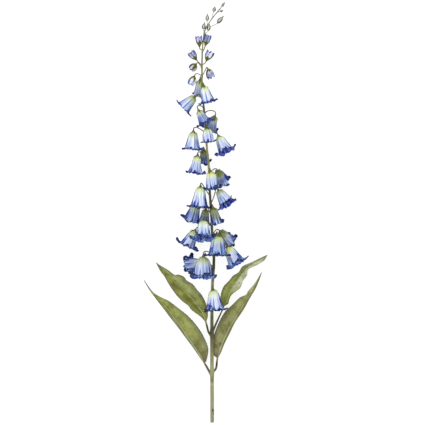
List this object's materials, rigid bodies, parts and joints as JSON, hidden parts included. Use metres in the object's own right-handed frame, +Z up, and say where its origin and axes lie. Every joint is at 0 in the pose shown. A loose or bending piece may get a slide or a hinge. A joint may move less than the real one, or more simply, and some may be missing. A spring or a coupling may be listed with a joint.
{
  "type": "campanula spike",
  "caption": "Cut campanula stem laid on its back: nodding blue bells on hooked stalks round a long stem, half-open buds above them, green buds at the tip and long leaves near the cut end",
  "frame": {"origin": "on the table, under the middle of the spike's bounding box", "axes": "+Y runs along the stem from the cut end to the tip of the spike, +X is the viewer's right in the picture and +Z is up from the table, towards the viewer"},
  "size_m": [0.2494, 0.8436, 0.0931],
  "materials": {
    "stem_green": "matte olive green",
    "leaf_green": "matte leaf green",
    "petal_blue": "matte blue petals, pale at the dome",
    "bud_blue": "matte blue-violet petals"
  },
  "bodies": {
    "root": {"stem": "stem_green", "bell_01": "petal_blue", "bell_02": "petal_blue", "bell_03": "petal_blue", "bell_04": "petal_blue", "bell_05": "petal_blue", "bell_06": "petal_blue", "bell_07": "petal_blue", "bell_08": "petal_blue", "bell_09": "petal_blue", "bell_10": "petal_blue", "bell_11": "petal_blue", "bell_12": "petal_blue", "bell_13": "petal_blue", "bell_14": "petal_blue", "bell_15": "petal_blue", "bell_16": "petal_blue", "bell_17": "petal_blue", "bell_18": "petal_blue", "bell_19": "petal_blue", "bell_20": "petal_blue", "bell_21": "petal_blue", "bell_22": "petal_blue", "bell_23": "petal_blue", "bell_24": "petal_blue", "bell_25": "petal_blue", "bud_1": "bud_blue", "bud_2": "bud_blue", "bud_3": "bud_blue", "bud_4": "bud_blue", "bud_5": "bud_blue", "bud_6": "bud_blue", "bud_7": "bud_blue", "leaf_lower_left": "leaf_green", "leaf_lower_right": "leaf_green", "leaf_upper_left": "leaf_green", "leaf_upper_right": "leaf_green"}
  },
  "joints": []
}
